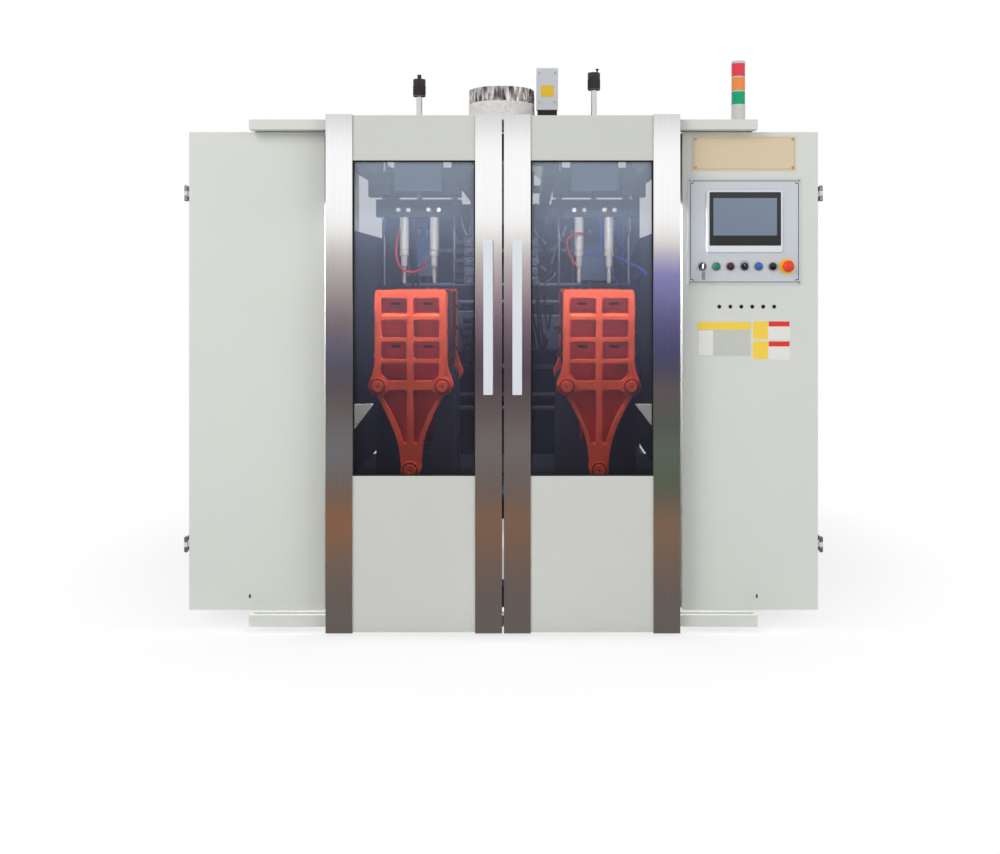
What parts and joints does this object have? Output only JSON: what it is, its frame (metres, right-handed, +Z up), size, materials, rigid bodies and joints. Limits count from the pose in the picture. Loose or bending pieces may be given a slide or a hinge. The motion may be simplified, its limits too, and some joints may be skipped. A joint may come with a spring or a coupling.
{
  "type": "blow moulding machine",
  "caption": "Double station extrusion blow moulding machine with sliding doors, three bar clamps, blow heads, a die head, an extruder and an operator panel.",
  "frame": {"origin": "bottom centre of the whole machine, on the floor", "axes": "+X to the operator's right, +Y to the back, +Z up"},
  "size_m": [2.176, 2.6, 1.999],
  "materials": {
    "cabinet_paint": "satin warm light grey",
    "frame_paint": "satin dark grey",
    "casting_paint": "orange red over a sand casting",
    "blue_grey_paint": "satin blue grey",
    "stainless": "brushed along the strip",
    "machined_steel": "machined",
    "chrome_rod": "ground and plated",
    "tinted_pane": "tinted, clear",
    "foil": "crinkled foil and glass cloth",
    "heater_metal": "heat tinted",
    "grey_plastic": "matt",
    "nylon": "natural",
    "black_plastic": "gloss",
    "green_plastic": "gloss",
    "blue_plastic": "gloss",
    "red_plastic": "gloss",
    "lens_plastic": "ribbed, clear"
  },
  "bodies": {
    "root": {"base_frame": "frame_paint", "levelling_feet": "machined_steel", "upper_frame": "frame_paint", "left_cabinet": "cabinet_paint", "right_cabinet": "cabinet_paint", "top_rail": "cabinet_paint", "bottom_rail": "cabinet_paint", "hinge_pins": "machined_steel", "carriage_rails": "machined_steel", "blow_brackets": "frame_paint", "blow_cylinders": "blue_grey_paint", "die_head": "machined_steel", "die_head_wrap": "foil", "terminal_box": "grey_plastic", "extruder_barrel": "machined_steel", "heater_bands": "heater_metal", "hopper": "stainless", "gearbox": "blue_grey_paint", "extruder_motor": "blue_grey_paint", "power_pack": "blue_grey_paint", "pump_motor": "blue_grey_paint", "stack_light_body": "grey_plastic", "stack_light_lenses": "lens_plastic"},
    "control_door": {"control_door": "cabinet_paint", "control_plate": "stainless", "operator_panel": "black_plastic", "button_bezels": "machined_steel"},
    "left_side_door": {"left_side_door": "cabinet_paint"},
    "key_switch": {"key_switch": "machined_steel"},
    "green_button": {"green_button": "green_plastic"},
    "selector_switch": {"selector_switch": "black_plastic"},
    "blue_button": {"blue_button": "blue_plastic"},
    "black_button": {"black_button": "black_plastic"},
    "estop_button": {"estop_button": "red_plastic"},
    "left_sliding_door": {"left_door_panel": "cabinet_paint", "left_door_window": "tinted_pane", "left_door_strips": "stainless", "left_door_handle": "machined_steel", "left_door_glides": "nylon"},
    "left_carriage": {"left_carriage": "frame_paint"},
    "left_front_clamp": {"left_front_platen": "casting_paint", "left_tie_bars": "chrome_rod", "left_front_mould": "machined_steel"},
    "left_rear_clamp": {"left_rear_platen": "casting_paint", "left_rear_mould": "machined_steel"},
    "left_blow_head": {"left_blow_head": "frame_paint", "left_blow_pins": "chrome_rod"},
    "right_sliding_door": {"right_door_panel": "cabinet_paint", "right_door_window": "tinted_pane", "right_door_strips": "stainless", "right_door_handle": "machined_steel", "right_door_glides": "nylon"},
    "right_carriage": {"right_carriage": "frame_paint"},
    "right_front_clamp": {"right_front_platen": "casting_paint", "right_tie_bars": "chrome_rod", "right_front_mould": "machined_steel"},
    "right_rear_clamp": {"right_rear_platen": "casting_paint", "right_rear_mould": "machined_steel"},
    "right_blow_head": {"right_blow_head": "frame_paint", "right_blow_pins": "chrome_rod"}
  },
  "joints": [
    {"name": "left_sliding_door", "type": "slide", "parent": "root", "child": "left_sliding_door", "axis": [1, 0, 0], "range_m": [-0.28, 0]},
    {"name": "right_sliding_door", "type": "slide", "parent": "root", "child": "right_sliding_door", "axis": [1, 0, 0], "range_m": [0, 0.28]},
    {"name": "left_side_door", "type": "hinge", "parent": "root", "child": "left_side_door", "pos_m": [-1.0815, -1.1685, 0.9], "axis": [0, 0, -1], "range_deg": [0, 110]},
    {"name": "control_door", "type": "hinge", "parent": "root", "child": "control_door", "pos_m": [1.0815, -1.1685, 0.9], "axis": [0, 0, -1], "range_deg": [-110, 0]},
    {"name": "key_switch", "type": "hinge", "parent": "control_door", "child": "key_switch", "pos_m": [0.675, -1.175, 1.23], "axis": [0, 1, 0], "range_deg": [0, 90]},
    {"name": "selector_switch", "type": "hinge", "parent": "control_door", "child": "selector_switch", "pos_m": [0.819, -1.175, 1.23], "axis": [0, 1, 0], "range_deg": [-45, 45]},
    {"name": "green_button", "type": "slide", "parent": "control_door", "child": "green_button", "axis": [0, 1, 0], "range_m": [0, 0.004], "stiffness_N_per_m": 400},
    {"name": "blue_button", "type": "slide", "parent": "control_door", "child": "blue_button", "axis": [0, 1, 0], "range_m": [0, 0.004], "stiffness_N_per_m": 400},
    {"name": "black_button", "type": "slide", "parent": "control_door", "child": "black_button", "axis": [0, 1, 0], "range_m": [0, 0.004], "stiffness_N_per_m": 400},
    {"name": "estop_button", "type": "slide", "parent": "control_door", "child": "estop_button", "axis": [0, 1, 0], "range_m": [0, 0.006], "stiffness_N_per_m": 400},
    {"name": "left_carriage", "type": "slide", "parent": "root", "child": "left_carriage", "axis": [1, 0, 0], "range_m": [0, 0.316]},
    {"name": "left_clamp", "type": "slide", "parent": "left_carriage", "child": "left_front_clamp", "axis": [0, 1, 0], "range_m": [0, 0.11]},
    {"name": "left_rear_platen", "type": "slide", "parent": "left_carriage", "child": "left_rear_clamp", "axis": [0, 1, 0], "range_m": [-0.11, 0]},
    {"name": "left_blow_head", "type": "slide", "parent": "root", "child": "left_blow_head", "axis": [0, 0, 1], "range_m": [-0.08, 0]},
    {"name": "right_carriage", "type": "slide", "parent": "root", "child": "right_carriage", "axis": [1, 0, 0], "range_m": [-0.356, 0]},
    {"name": "right_clamp", "type": "slide", "parent": "right_carriage", "child": "right_front_clamp", "axis": [0, 1, 0], "range_m": [0, 0.11]},
    {"name": "right_rear_platen", "type": "slide", "parent": "right_carriage", "child": "right_rear_clamp", "axis": [0, 1, 0], "range_m": [-0.11, 0]},
    {"name": "right_blow_head", "type": "slide", "parent": "root", "child": "right_blow_head", "axis": [0, 0, 1], "range_m": [-0.08, 0]}
  ],
  "couplings": [
    {"joint": "left_rear_platen", "follows": "left_clamp", "ratio": -1},
    {"joint": "right_rear_platen", "follows": "right_clamp", "ratio": -1}
  ]
}
